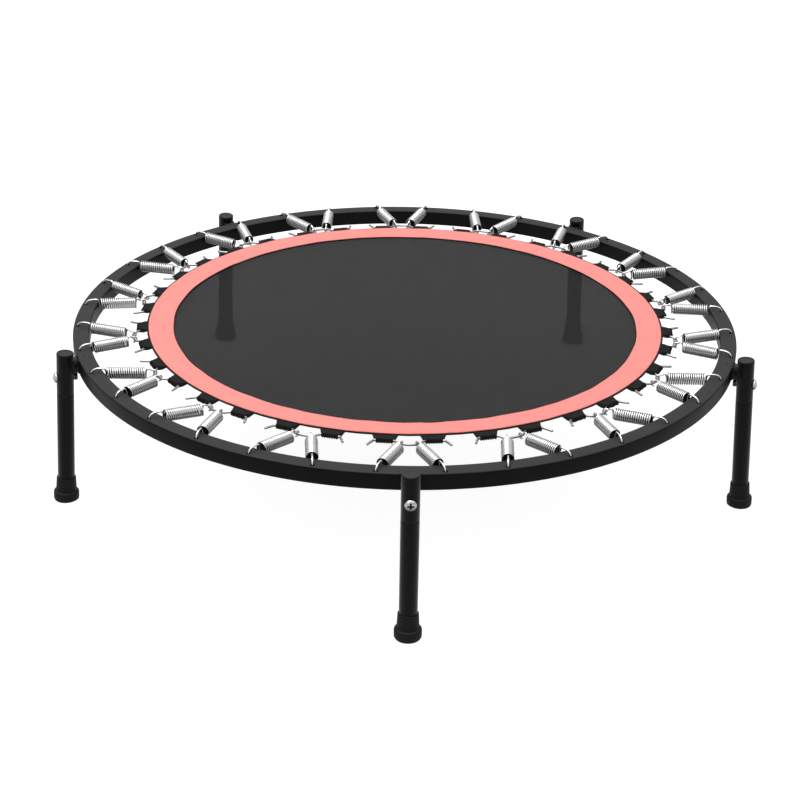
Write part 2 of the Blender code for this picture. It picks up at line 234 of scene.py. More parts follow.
def new_group(name, inputs, outputs):
    group = bpy.data.node_groups.new(name, "ShaderNodeTree")
    for label, kind, default in inputs:
        socket = group.interface.new_socket(label, in_out="INPUT", socket_type=kind)
        if default is not None:
            socket.default_value = default
    for label, kind in outputs:
        group.interface.new_socket(label, in_out="OUTPUT", socket_type=kind)
    return group, group.nodes.new("NodeGroupInput").outputs, group.nodes.new("NodeGroupOutput").inputs


def mixed(tree, factor, first, second, blend="MIX"):
    node = tree.nodes.new("ShaderNodeMix")
    node.data_type = "RGBA"
    node.blend_type = blend
    for socket, value in ((node.inputs[0], factor), (node.inputs[6], first), (node.inputs[7], second)):
        if isinstance(value, bpy.types.NodeSocket):
            tree.links.new(value, socket)
        else:
            socket.default_value = value
    return node.outputs[2]


# %% Node group: fine grain
grain, grain_in, grain_out = new_group(
    "fine_grain",
    [("Position", "NodeSocketVector", None),
     ("Grain Size", "NodeSocketFloat", 900.0),
     ("Color", "NodeSocketColor", None),
     ("Worn Color", "NodeSocketColor", None),
     ("Roughness", "NodeSocketFloat", 0.5),
     ("Spread", "NodeSocketFloat", 0.1)],
    [("Color", "NodeSocketColor"), ("Roughness", "NodeSocketFloat"), ("Height", "NodeSocketFloat")],
)
speck = add_node(grain, "ShaderNodeTexNoise", Detail=2.0, Roughness=0.55)
cloud = add_node(grain, "ShaderNodeTexNoise", Scale=22.0, Detail=5.0, Roughness=0.62)
grain.links.new(grain_in["Position"], speck.inputs["Vector"])
grain.links.new(grain_in["Grain Size"], speck.inputs["Scale"])
grain.links.new(grain_in["Position"], cloud.inputs["Vector"])
tone = math_node(grain, "MULTIPLY_ADD", cloud.outputs["Fac"], 2.2)
tone.node.inputs[2].default_value = -0.75
tone.node.use_clamp = True
grain.links.new(mixed(grain, tone, grain_in["Color"], grain_in["Worn Color"]), grain_out["Color"])
off_middle = math_node(grain, "SUBTRACT", cloud.outputs["Fac"], 0.5)
uneven = math_node(grain, "MULTIPLY", off_middle, grain_in["Spread"])
grain.links.new(math_node(grain, "ADD", grain_in["Roughness"], uneven), grain_out["Roughness"])
grain.links.new(speck.outputs["Fac"], grain_out["Height"])
print("group fine_grain:", len(grain.nodes), "nodes")

# %% [markdown]
# The second group is a plain weave. Two sines, one for each thread direction, make the over-and-under
# pattern when they are multiplied. Where both are near zero there is a tiny gap between four threads, and
# that mask lets light through the mat. The group works in metres, so "Pitch" is the real distance between
# two threads.

# %% Node group: plain weave
weave, weave_in, weave_out = new_group(
    "plain_weave",
    [("Position", "NodeSocketVector", None),
     ("Pitch", "NodeSocketFloat", 0.001),
     ("Ribs", "NodeSocketFloat", 0.5)],
    [("Height", "NodeSocketFloat"), ("Gap", "NodeSocketFloat"), ("Shade", "NodeSocketFloat")],
)
split = add_node(weave, "ShaderNodeSeparateXYZ")
weave.links.new(weave_in["Position"], split.inputs[0])
turns = math_node(weave, "DIVIDE", math.pi, weave_in["Pitch"])
warp_angle = math_node(weave, "MULTIPLY", split.outputs["X"], turns)
weft_angle = math_node(weave, "MULTIPLY", split.outputs["Y"], turns)
warp, weft = math_node(weave, "SINE", warp_angle), math_node(weave, "SINE", weft_angle)
crossing = math_node(weave, "MULTIPLY", warp, weft)
ribs = math_node(weave, "MULTIPLY", math_node(weave, "ABSOLUTE", weft), weave_in["Ribs"])
weave.links.new(math_node(weave, "ADD", crossing, ribs), weave_out["Height"])
openness = math_node(weave, "ADD", math_node(weave, "ABSOLUTE", warp), math_node(weave, "ABSOLUTE", weft))
gap = math_node(weave, "LESS_THAN", openness, 0.5)
weave.links.new(gap, weave_out["Gap"])
shade = math_node(weave, "MULTIPLY_ADD", crossing, 0.12)
shade.node.inputs[2].default_value = 0.88
weave.links.new(shade, weave_out["Shade"])
print("group plain_weave:", len(weave.nodes), "nodes")

# %% [markdown]
# The tape and the webbing strip run round in a circle, so their threads do too. The third group turns a
# position into a distance along the circle and a distance out from the axis, which the weave group then
# reads as its X and Y.

# %% Node group: round the axis
unroll, unroll_in, unroll_out = new_group(
    "round_the_axis",
    [("Position", "NodeSocketVector", None),
     ("Centre", "NodeSocketVector", None),
     ("Radius", "NodeSocketFloat", 0.375)],
    [("Position", "NodeSocketVector")],
)
offset = add_node(unroll, "ShaderNodeVectorMath", operation="SUBTRACT")
unroll.links.new(unroll_in["Position"], offset.inputs[0])
unroll.links.new(unroll_in["Centre"], offset.inputs[1])
parts = add_node(unroll, "ShaderNodeSeparateXYZ")
unroll.links.new(offset.outputs[0], parts.inputs[0])
bearing = math_node(unroll, "ARCTAN2", parts.outputs["Y"], parts.outputs["X"])
squares = math_node(unroll, "ADD", math_node(unroll, "POWER", parts.outputs["X"], 2.0),
                    math_node(unroll, "POWER", parts.outputs["Y"], 2.0))
joined = add_node(unroll, "ShaderNodeCombineXYZ")
unroll.links.new(math_node(unroll, "MULTIPLY", bearing, unroll_in["Radius"]), joined.inputs["X"])
unroll.links.new(math_node(unroll, "SQRT", squares), joined.inputs["Y"])
unroll.links.new(joined.outputs[0], unroll_out["Position"])


# %% [markdown]
# The fourth group paints light and shade. Faces that look up are painted paler than the sides, as if lit
# from above, and with Low below zero the faces that look down are painted darker, as painted shade. The
# group reads how far a face is turned upwards, and goes from one colour to the other over a range that
# each material chooses.

# %% Node group: painted top light
top_light, top_light_in, top_light_out = new_group(
    "painted_top_light",
    [("Color", "NodeSocketColor", None),
     ("Top Color", "NodeSocketColor", None),
     ("Low", "NodeSocketFloat", 0.35),
     ("High", "NodeSocketFloat", 0.98)],
    [("Color", "NodeSocketColor")],
)
facing = add_node(top_light, "ShaderNodeNewGeometry")
upward_part = add_node(top_light, "ShaderNodeSeparateXYZ")
top_light.links.new(facing.outputs["Normal"], upward_part.inputs[0])
# Painted light: how far a face looks up sets how much of the top colour it gets.
lit_share = add_node(top_light, "ShaderNodeMapRange", interpolation_type="SMOOTHSTEP")
top_light.links.new(top_light_in["Low"], lit_share.inputs["From Min"])
top_light.links.new(top_light_in["High"], lit_share.inputs["From Max"])
top_light.links.new(upward_part.outputs["Z"], lit_share.inputs["Value"])
top_lit = mixed(top_light, lit_share.outputs["Result"], top_light_in["Color"], top_light_in["Top Color"])
top_light.links.new(top_lit, top_light_out["Color"])
print("group painted_top_light:", len(top_light.nodes), "nodes")


# %% [markdown]
# With the groups in place a material is short: the group feeds colour and roughness, and its height goes
# through a Bump node. Values that are the same all over, such as metallic or sheen, stay on the shader's
# own sockets. A mesh can also carry a value of its own, here called "crease_shade", which an Attribute node
# reads to paint shade into the creases.

# %% Helper for materials
def new_material(name, **uniform):
    made = bpy.data.materials.new(name)
    made.use_nodes = True
    tree = made.node_tree
    shader = tree.nodes["Principled BSDF"]
    for label, value in uniform.items():
        shader.inputs[label.replace("_", " ")].default_value = value
    return made, tree, shader, add_node(tree, "ShaderNodeTexCoord").outputs["Object"]


def use_group(tree, group, **values):
    node = tree.nodes.new("ShaderNodeGroup")
    node.node_tree = group
    for label, value in values.items():
        socket = node.inputs[label.replace("_", " ")]
        if isinstance(value, bpy.types.NodeSocket):
            tree.links.new(value, socket)
        else:
            socket.default_value = value
    return node.outputs


def add_bump(tree, shader, height, distance):
    bump = add_node(tree, "ShaderNodeBump", Distance=distance, Strength=1.0)
    tree.links.new(height, bump.inputs["Height"])
    tree.links.new(bump.outputs[0], shader.inputs["Normal"])


def grained(name, color, worn, roughness, spread, grain_size, bump, top=None, low=0.35, high=0.98,
            crease_shade=None, **uniform):
    made, tree, shader, position = new_material(name, **uniform)
    out = use_group(tree, grain, Position=position, Grain_Size=grain_size, Color=(*color, 1),
                    Worn_Color=(*worn, 1), Roughness=roughness, Spread=spread)
    finish = out["Color"]
    # top: a painted-light colour for upward faces; low and high set over which upward turn it comes in.
    if top:
        finish = use_group(tree, top_light, Color=finish, Top_Color=(*top, 1), Low=low, High=high)["Color"]
    # Painted shade on the points that lie deep between two turns.
    if crease_shade:
        crease_shade_mask = add_node(tree, "ShaderNodeAttribute", attribute_name="crease_shade")
        finish = mixed(tree, crease_shade_mask.outputs["Fac"], finish, (*crease_shade, 1))
    tree.links.new(finish, shader.inputs["Base Color"])
    tree.links.new(out["Roughness"], shader.inputs["Roughness"])
    add_bump(tree, shader, out["Height"], bump)
    return made


# %% [markdown]
# Powder coat is paint baked on as dust, so it has a faint orange-peel skin and a satin gloss. The ring's
# coat is a charcoal grey. The legs' is black, with a little sheen that gives the round tubes a soft pale
# edge. Zinc plate is painted bright on top and dark underneath, as painted light and painted shade. The
# springs' zinc also has painted shade in the creases between the turns. Rubber is nearly black, rough, and
# greys a little where it is rubbed. Every top colour here is painted light on the upward faces.

# %% Metal, rubber and plastic
# The top colours below are painted light on the upward faces.
charcoal_coat = grained(
    "charcoal_coat", (0.0022, 0.0022, 0.0023), (0.004, 0.004, 0.0041), roughness=0.42, spread=0.2,
    grain_size=700.0, bump=0.00012, top=(0.031, 0.031, 0.0315), Specular_IOR_Level=0.06)
black_coat = grained(
    "black_coat", (0.0008, 0.0008, 0.0009), (0.002, 0.002, 0.0021), roughness=0.3, spread=0.2,
    grain_size=700.0, bump=0.0001, top=(0.023, 0.023, 0.024),
    Specular_IOR_Level=0.07, Sheen_Weight=0.2, Sheen_Roughness=0.42)
# The zinc's plain colour is painted shade on its lower faces, and its top colour a painted highlight.
bright_zinc = grained(
    "bright_zinc", (0.13, 0.13, 0.135), (0.10, 0.10, 0.105), roughness=0.25, spread=0.15,
    grain_size=1500.0, bump=0.00001, top=(0.78, 0.785, 0.79), low=-0.4, high=0.8, Metallic=1.0)
# The dark crease colour is painted shade between the turns of the coil.
spring_zinc = grained(
    "spring_zinc", (0.12, 0.12, 0.125), (0.09, 0.09, 0.095), roughness=0.25, spread=0.15,
    grain_size=1500.0, bump=0.00001, top=(0.93, 0.935, 0.94), low=-0.4, high=0.8,
    crease_shade=(0.015, 0.015, 0.015), Metallic=1.0)
bar_zinc = grained(
    "bar_zinc", (0.08, 0.077, 0.077), (0.06, 0.058, 0.058), roughness=0.32, spread=0.15,
    grain_size=1500.0, bump=0.00001, top=(0.42, 0.41, 0.41), low=-0.4, high=0.9, Metallic=1.0)
black_rubber = grained(
    "black_rubber", (0.0032, 0.0032, 0.0034), (0.006, 0.006, 0.006), roughness=0.6, spread=0.25,
    grain_size=1100.0, bump=0.0002, top=(0.02, 0.02, 0.02), Specular_IOR_Level=0.12)
cap_plastic = grained(
    "cap_plastic", (0.006, 0.006, 0.0062), (0.01, 0.01, 0.0105), roughness=0.45, spread=0.2,
    grain_size=1300.0, bump=0.0001, top=(0.028, 0.028, 0.0285), Specular_IOR_Level=0.12)
dark_steel = grained(
    "dark_steel", (0.02, 0.02, 0.022), (0.04, 0.038, 0.036), roughness=0.4, spread=0.25,
    grain_size=1200.0, bump=0.00005, Metallic=0.8)

# %% [markdown]
# The mat is woven from flat polypropylene yarn. It is matte black with a grey bloom from the light on its
# threads, and its gaps let a little light through, so the back legs show as faint darker stripes. The
# gaps go into Alpha. The mat has two faces, so its lower one is made clear by Backfacing, and only one
# layer of gaps counts.

# %% The woven mat
mat_weave, tree, shader, position = new_material("mat_weave", Specular_IOR_Level=0.12)
threads = use_group(tree, weave, Position=position, Pitch=0.0011, Ribs=0.35)
bloom = use_group(tree, grain, Position=position, Grain_Size=400.0, Color=(0.0065, 0.0065, 0.0067, 1),
                  Worn_Color=(0.009, 0.009, 0.0092, 1), Roughness=0.62, Spread=0.15)
tree.links.new(mixed(tree, 1.0, bloom["Color"], threads["Shade"], "MULTIPLY"), shader.inputs["Base Color"])
tree.links.new(bloom["Roughness"], shader.inputs["Roughness"])
open_part = math_node(tree, "MAXIMUM", math_node(tree, "MULTIPLY", threads["Gap"], 0.4),
                      add_node(tree, "ShaderNodeNewGeometry").outputs["Backfacing"])
tree.links.new(math_node(tree, "SUBTRACT", 1.0, open_part), shader.inputs["Alpha"])
add_bump(tree, shader, threads["Height"], 0.00025)


# %% [markdown]
# Tape and webbing are woven too, but tighter and without gaps. A fine twill makes the coral tape look
# soft, and a little sheen gives the pale edge that cloth has where it turns away.

# %% Tape, webbing and thread
def woven_tape(name, color, worn, pitch, ribs, bump, round_axis, sheen):
    made, tree, shader, position = new_material(name, Sheen_Weight=sheen, Sheen_Roughness=0.5,
                                                Specular_IOR_Level=0.2)
    if round_axis:
        position = use_group(tree, unroll, Position=position, Centre=AXIS)["Position"]
    threads = use_group(tree, weave, Position=position, Pitch=pitch, Ribs=ribs)
    cloth = use_group(tree, grain, Position=position, Grain_Size=500.0, Color=(*color, 1),
                      Worn_Color=(*worn, 1), Roughness=0.72, Spread=0.15)
    shaded = mixed(tree, 1.0, cloth["Color"], threads["Shade"], "MULTIPLY")
    tree.links.new(shaded, shader.inputs["Base Color"])
    tree.links.new(cloth["Roughness"], shader.inputs["Roughness"])
    add_bump(tree, shader, threads["Height"], bump)
    return made


coral_tape = woven_tape(
    "coral_tape", (0.93, 0.28, 0.25), (0.88, 0.255, 0.23),
    pitch=0.0008, ribs=0.6, bump=0.00018, round_axis=True, sheen=0.1)
edge_webbing = woven_tape(
    "edge_webbing", (0.003, 0.002, 0.002), (0.005, 0.0035, 0.0035),
    pitch=0.001, ribs=0.8, bump=0.0003, round_axis=True, sheen=0.0)
tab_webbing = woven_tape(
    "tab_webbing", (0.0035, 0.0035, 0.0035), (0.007, 0.007, 0.007),
    pitch=0.0012, ribs=0.8, bump=0.0003, round_axis=False, sheen=0.0)
coral_thread = grained(
    "coral_thread", (0.9, 0.27, 0.23), (0.78, 0.22, 0.19),
    roughness=0.7, spread=0.1, grain_size=900.0, bump=0.00008)
print("materials:", len(bpy.data.materials))

# %% [markdown]
# ## The ring
# The hoop is rolled from 25 mm square tube, which leaves its corners round and its sides flat. A closed
# outline of that section turned round the axis is the whole hoop, and a smaller one is the hollow inside
# it. The hook holes are then drilled with one Boolean: each drill has a flared top, so every hole gets
# the small chamfer that holds paint.

# %% Ring
TUBE_CORNER = 0.0032
TUBE_WALL = 0.0015
HOLE_CIRCLE = 0.5015
HOLE_HALF_ANGLE = 5.2           # from a pair's middle to its two holes
VENT_CIRCLE = 0.4975


def square_section(margin, corner):
    inside, outside = RING_RADIUS - TUBE_SIZE + margin, RING_RADIUS - margin
    low, high = RING_TOP - TUBE_SIZE + margin, RING_TOP - margin
    return rounded([(inside, low), (outside, low), (outside, high), (inside, high)], corner)


def spring_stations():
    """For each spring: its number, its pair's angle, its side of the pair, and its hole's angle."""
    for pair in range(PAIRS):
        middle = FIRST_ANGLE + 360 / PAIRS * pair
        for side in (-1, 1):
            yield 2 * pair + (side + 3) // 2, middle, side, middle + side * HOLE_HALF_ANGLE


def drilled(body, drills):
    """The body mesh with the drill meshes cut out of it."""
    base = bpy.data.objects.new("blank", body)
    bpy.context.scene.collection.objects.link(base)
    helpers = []
    for shape in drills:
        helper = bpy.data.objects.new("drill", shape)
        bpy.context.scene.collection.objects.link(helper)
        cut = base.modifiers.new("drill", "BOOLEAN")
        cut.operation, cut.solver, cut.object = "DIFFERENCE", "EXACT", helper
        helpers.append(helper)
    bpy.context.view_layer.update()
    graph = bpy.context.evaluated_depsgraph_get()
    mesh = bpy.data.meshes.new_from_object(base.evaluated_get(graph), depsgraph=graph)
    for used in (base, *helpers):
        bpy.data.objects.remove(used)
    mesh.shade_smooth()
    mesh.set_sharp_from_angle(angle=math.radians(30))
    return mesh


def gathered(name, meshes_and_places):
    """One mesh made of many, each moved by its matrix."""
    bm = bmesh.new()
    for mesh, matrix in meshes_and_places:
        copy = mesh.copy()
        copy.transform(matrix)
        bm.from_mesh(copy)
        bpy.data.meshes.remove(copy)
    whole = bpy.data.meshes.new(name)
    bm.to_mesh(whole)
    bm.free()
    return whole


def drill_profile(radius):
    flare = radius + 0.0006
    return [(0, -0.006), (radius, -0.006), (radius, -0.0006), (flare, 0.0002), (flare, 0.002), (0, 0.002)]


hook_drill = turned("hook_drill", drill_profile(0.0029), 20, closed=False)
vent_drill = turned("vent_drill", drill_profile(0.0011), 12, closed=False)
spots = []
for *_, angle in spring_stations():
    spots.append((hook_drill, Matrix.Translation(polar(HOLE_CIRCLE, angle, RING_TOP))))
for leg in range(LEGS):
    angle = FIRST_ANGLE + 360 / LEGS * leg
    spots.append((vent_drill, Matrix.Translation(polar(VENT_CIRCLE, angle, RING_TOP))))
hoop = turned("hoop", square_section(0, TUBE_CORNER), 240)
hollow = turned("hollow", square_section(TUBE_WALL, TUBE_CORNER - TUBE_WALL), 240)
ring_mesh = drilled(hoop, [hollow, gathered("drills", spots)])
place("ring", ring_mesh, charcoal_coat, "frame", Matrix.Translation(AXIS), ["frame_ring"])
print("ring:", len(ring_mesh.polygons), "faces,", len(spots), "holes")

# %% [markdown]
# ## Legs
# A leg station is a sleeve welded to the ring, a leg tube pushed up into it, a bolt through both, and a
# rubber foot. All five are alike and lean outwards by the same angle, so each mesh is made once in the
# leg's own frame, with Z up along the leg, and then turned round the ring's axis to its place.

# %% Where a leg stands
foot_low, foot_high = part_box("leg_foot_1")
sleeve_low, sleeve_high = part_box("leg_sleeve_1")
LEG_RADIUS = (sleeve_high.x - sleeve_low.x) / 2
LEG_LEAN = math.radians(3.1)
SLEEVE_LENGTH = 0.066
ABOVE_RING = 0.010              # how far a sleeve stands above the ring's top face
TOP_REACH = 0.5254              # from the ring's axis to a leg's middle line, at the sleeve's top
LEG_LENGTH = (RING_TOP + ABOVE_RING) / math.cos(LEG_LEAN)
FLOOR_REACH = TOP_REACH + (RING_TOP + ABOVE_RING) * math.tan(LEG_LEAN)
SLEEVE_FOOT = LEG_LENGTH - SLEEVE_LENGTH


def station(leg):
    """The upright frame of a leg: X points outwards from the ring's axis."""
    angle = math.radians(FIRST_ANGLE + 360 / LEGS * leg)
    return Matrix.Translation(AXIS) @ Matrix.Rotation(angle, 4, "Z")


LEAN_FRAME = Matrix.Translation((FLOOR_REACH, 0, 0)) @ Matrix.Rotation(-LEG_LEAN, 4, "Y")
foot_size = tuple(round(v, 3) for v in foot_high - foot_low)
print(f"legs stand {FLOOR_REACH:.4f} m out and are {LEG_LENGTH:.4f} m long, foot box {foot_size}")

# %% [markdown]
# The sleeve is a plain tube with broken edges. Its open top is closed by a pressed-in plastic cap with a
# rounded rim and a shallow dish. Below it the leg tube shows as a thin dark line, because both edges are
# rounded and meet in a groove. All of these are turned shapes.

# %% Sleeve, cap and leg tube
CAP_RIM = 0.0022
TUBE_BORE = LEG_RADIUS - 0.0015
EDGE = 0.0006

sleeve_mesh = turned("sleeve", rounded([
    (TUBE_BORE, SLEEVE_FOOT), (LEG_RADIUS, SLEEVE_FOOT),
    (LEG_RADIUS, LEG_LENGTH - CAP_RIM), (TUBE_BORE, LEG_LENGTH - CAP_RIM)], EDGE), 64)
cap_mesh = turned("cap", [
    (0, LEG_LENGTH - 0.012), (TUBE_BORE - 0.0004, LEG_LENGTH - 0.012),
    (TUBE_BORE - 0.0002, LEG_LENGTH - CAP_RIM + 0.0001),
    (LEG_RADIUS - 0.0004, LEG_LENGTH - CAP_RIM + 0.0001), (LEG_RADIUS - 0.0001, LEG_LENGTH - 0.0016),
    (LEG_RADIUS - 0.0004, LEG_LENGTH - 0.0008), (LEG_RADIUS - 0.0011, LEG_LENGTH - 0.0002),
    (LEG_RADIUS - 0.0022, LEG_LENGTH), (LEG_RADIUS - 0.0032, LEG_LENGTH - 0.0003),
    (LEG_RADIUS - 0.0038, LEG_LENGTH - 0.0009), (LEG_RADIUS - 0.0052, LEG_LENGTH - 0.0011),
    (0, LEG_LENGTH - 0.0009)], 64, closed=False)
leg_mesh = turned("leg", rounded([
    (LEG_RADIUS - 0.0015, 0.0066), (LEG_RADIUS, 0.0066), (LEG_RADIUS, SLEEVE_FOOT - 0.0011),
    (TUBE_BORE - 0.0003, SLEEVE_FOOT - 0.0011), (TUBE_BORE - 0.0003, SLEEVE_FOOT + 0.052),
    (TUBE_BORE - 0.0018, SLEEVE_FOOT + 0.052), (TUBE_BORE - 0.0018, SLEEVE_FOOT - 0.004),
    (LEG_RADIUS - 0.0015, SLEEVE_FOOT - 0.008)], 0.0014), 64)

# %% [markdown]
# The bracket is a short block between ring and sleeve, welded along its sides. A weld bead is a row of
# small frozen ripples, so it is a swept wire whose radius swells and shrinks as it goes.

# %% Bracket and welds
BRACKET_WIDTH = 0.018
BRACKET_TOP = RING_TOP - 0.002
BRACKET_FOOT = RING_TOP - 0.021
BEAD = 0.0013


def bead(start, end, ripples=9):
    """A weld bead from start to end, as points and faces."""
    steps = ripples * 5
    line = np.linspace(start, end, steps + 1)
    points, faces = swept(line, BEAD, 10, tip=0.8)
    middle = line[np.clip((np.arange(len(points)) // 10) - 2, 0, steps)]
    swell = 1 + 0.16 * np.abs(np.sin(np.pi * (np.arange(len(points)) // 10) / 5))[:, None]
    return middle + (points - middle) * swell, faces


def bracket_mesh():
    bm = bmesh.new()
    near, far = RING_RADIUS - 0.0005, RING_RADIUS + 0.0095
    size = (far - near, BRACKET_WIDTH, BRACKET_TOP - BRACKET_FOOT)
    centre = ((near + far) / 2, 0, (BRACKET_TOP + BRACKET_FOOT) / 2)
    bmesh.ops.create_cube(bm, size=1, matrix=Matrix.Translation(centre) @ Matrix.Diagonal((*size, 1)))
    bmesh.ops.bevel(bm, geom=bm.edges[:], offset=0.0012, segments=3, affect="EDGES")
    mesh = bpy.data.meshes.new("bracket")
    bm.to_mesh(mesh)
    bm.free()
    mesh.shade_smooth()
    return mesh


def weld_mesh():
    points, faces = [], []
    half = BRACKET_WIDTH / 2
    near = RING_RADIUS + 0.0004
    beads = [bead((near, y, BRACKET_FOOT), (near, y, BRACKET_TOP)) for y in (-half, half)]
    beads.append(bead((near, -half, BRACKET_FOOT), (near, half, BRACKET_FOOT), 8))
    for y in (-half, half):
        beads.append(bead((RING_RADIUS + 0.0088, y, BRACKET_FOOT), (RING_RADIUS + 0.0078, y, BRACKET_TOP)))
    for more_points, more_faces in beads:
        faces += [tuple(i + len(points) for i in face) for face in more_faces]
        points += list(more_points)
    return as_mesh("weld", points, faces)


block_mesh, beads_mesh = bracket_mesh(), weld_mesh()
print("weld beads:", len(beads_mesh.vertices), "points")

# %% [markdown]
# The bolt has a domed head with a cross recess, which is cut with one cross-shaped plug. Little light
# gets into the recess, so its faces get a dark material as painted shade. A hex nut with chamfered corners
# holds the bolt on the inner side. Its hexagon comes from a profile turned with only six sides.

# %% Bolt and nut
BOLT_HEIGHT = LEG_LENGTH - 0.039
HEAD_RADIUS = 0.008
HEAD_HEIGHT = 0.0048
RECESS_ARM = 0.0058


def head_profile():
    dome = [(HEAD_RADIUS * math.sin(a), HEAD_HEIGHT * (0.25 + 0.75 * math.cos(a)))
            for a in np.linspace(math.pi / 2, 0, 12)]
    return [(0, -0.030), (0.003, -0.030), (0.003, 0.0), (HEAD_RADIUS - 0.0003, 0.0),
            *dome[:-1], (0, HEAD_HEIGHT)]


def recess_mesh():
    """A cross-shaped plug that narrows downwards, as the tip of a screwdriver does."""
    arm, half = RECESS_ARM, 0.0017
    cross = [(arm, -half), (arm, half), (half, half), (half, arm), (-half, arm), (-half, half),
             (-arm, half), (-arm, -half), (-half, -half), (-half, -arm), (half, -arm), (half, -half)]
    points = [(x, y, HEAD_HEIGHT + 0.001) for x, y in cross]
    points += [(x * 0.35, y * 0.35, HEAD_HEIGHT - 0.0036) for x, y in cross]
    count = len(cross)
    faces = [tuple(range(count)), tuple(range(2 * count - 1, count - 1, -1))]
    faces += [(i, (i + 1) % count, count + (i + 1) % count, count + i) for i in range(count)]
    return as_mesh("recess", points, faces)


bolt_mesh = drilled(turned("bolt", head_profile(), 40, closed=False), [recess_mesh()])
bolt_mesh.materials.append(bright_zinc)
bolt_mesh.materials.append(dark_steel)
# Painted shade: the faces inside the recess get the dark steel material.
for face in bolt_mesh.polygons:
    out = math.hypot(face.center.x, face.center.y)
    skin = HEAD_HEIGHT * (0.25 + 0.75 * math.sqrt(max(0, 1 - (out / HEAD_RADIUS) ** 2)))
    if 0 < face.center.z < skin - 0.0003 and out < RECESS_ARM:
        face.material_index = 1
nut_mesh = turned("nut", [
    (0.0031, 0.0), (0.0052, 0.0), (0.0062, 0.0007),
    (0.0062, 0.0042), (0.0052, 0.0049), (0.0031, 0.0049)], 6, sharp=20)
OUTWARD = Matrix.Translation((LEG_RADIUS + 0.0001, 0, BOLT_HEIGHT)) @ Matrix.Rotation(math.pi / 2, 4, "Y")
INWARD = Matrix.Translation((-LEG_RADIUS - 0.0002, 0, BOLT_HEIGHT)) @ Matrix.Rotation(-math.pi / 2, 4, "Y")

# %% [markdown]
# The foot is a moulded rubber boot: a short skirt grips the tube, and a wider base spreads the load. It
# leans with the leg, yet stands flat, so every point that would go below the floor is lifted to it, as
# the real sole wears flat.

# %% Foot
def foot_mesh():
    base, skirt, lip = 0.019, 0.0155, 0.0143
    outline = [
        (0, -0.0012), (base - 0.0012, -0.0012), (base - 0.0003, 0.0012), (base, 0.003), (base, 0.0112),
        (base - 0.0003, 0.0126), (base - 0.0010, 0.0136), (base - 0.002, 0.014), (skirt + 0.0006, 0.0142),
        (skirt, 0.0148), (skirt - 0.0001, 0.0165), (lip + 0.0002, 0.0345), (lip, 0.0362),
        (lip - 0.0005, 0.0368), (LEG_RADIUS + 0.0007, 0.037), (LEG_RADIUS + 0.0002, 0.0366),
        (LEG_RADIUS + 0.0002, 0.0062), (0, 0.0062)]
    mesh = turned("foot", outline, 64, closed=False)
    mesh.transform(LEAN_FRAME)
    for vertex in mesh.vertices:
        vertex.co.z = max(vertex.co.z, 0.0)
    return mesh


boot_mesh = foot_mesh()

# %% [markdown]
# Each mesh is now used five times. The sole is flat on the floor only in the leg's own upright frame, so
# every foot gets a copy of the mesh that is already in place.

# %% Set up the five legs
for leg in range(LEGS):
    upright = station(leg)
    leaning = upright @ LEAN_FRAME
    number = leg + 1
    place(f"sleeve_{number}", sleeve_mesh, black_coat, "frame", leaning, [f"leg_sleeve_{number}"])
    place(f"sleeve_cap_{number}", cap_mesh, cap_plastic, "frame", leaning)
    place(f"bracket_{number}", block_mesh, black_coat, "frame", upright)
    place(f"bracket_weld_{number}", beads_mesh, black_coat, "frame", upright)
    place(f"leg_{number}", leg_mesh, black_coat, "frame", leaning, [f"leg_tube_{number}"])
    place(f"bolt_{number}", bolt_mesh, bright_zinc, "frame", leaning @ OUTWARD,
          [f"leg_bolt_{number}"])
    place(f"nut_{number}", nut_mesh, dark_steel, "frame", leaning @ INWARD)
    boot = boot_mesh.copy()
    boot.transform(upright)
    place(f"foot_{number}", boot, black_rubber, "frame", None, [f"leg_foot_{number}"])
print("legs:", LEGS)

# %% [markdown]
# ## Springs
# A spring is one wire. It comes up out of its hole in the ring, arches over the ring's inner edge, dips
# to the bottom of the coil, winds round about seventeen times with half a millimetre between the turns,
# crosses the far end of the coil the same way and curls over the link bar. The whole line is worked out
# once, in a frame whose X axis points from the bar to the hole, so the wire lies on its negative side.

# %% The spring's line
BAR_DROP = 0.0025               # the springs pull the bars a little below the webbing's middle
BAR_HEIGHT = (mat_high.z + band_low.z) / 2 - BAR_DROP
BAR_IN_TAB = 0.4078
BAR_MIDDLE = 0.4185
TAB_HALF_ANGLE = 4.73
HOOK_ON_BAR = 0.0105
COIL_RADIUS = 0.0077
WIRE = 0.0013                   # its radius
COIL_START = 0.0230
COIL_LENGTH = 0.0535
COIL_TURNS = 17
COIL_AXIS = (-0.0012, -0.004)   # its height over the ring's top, at both ends


def bar_reach(side):
    """How far out a link bar lies, this far to the side of its pair's middle."""
    half_gap = BAR_IN_TAB * math.sin(math.radians(TAB_HALF_ANGLE)) - 0.014
    return BAR_IN_TAB + (BAR_MIDDLE - BAR_IN_TAB) * math.sqrt(max(0, 1 - (side / half_gap) ** 2))


hole = polar(HOLE_CIRCLE, HOLE_HALF_ANGLE)
run = hole - Vector((bar_reach(HOOK_ON_BAR), HOOK_ON_BAR, 0))
SPRING_LENGTH = run.length
SHARE_START = 0.012             # from the hole: where the worked-out share starts
SHARE_SPAN = SPRING_LENGTH - 0.014
SPRING_LEAN = math.atan2(run.y, run.x)


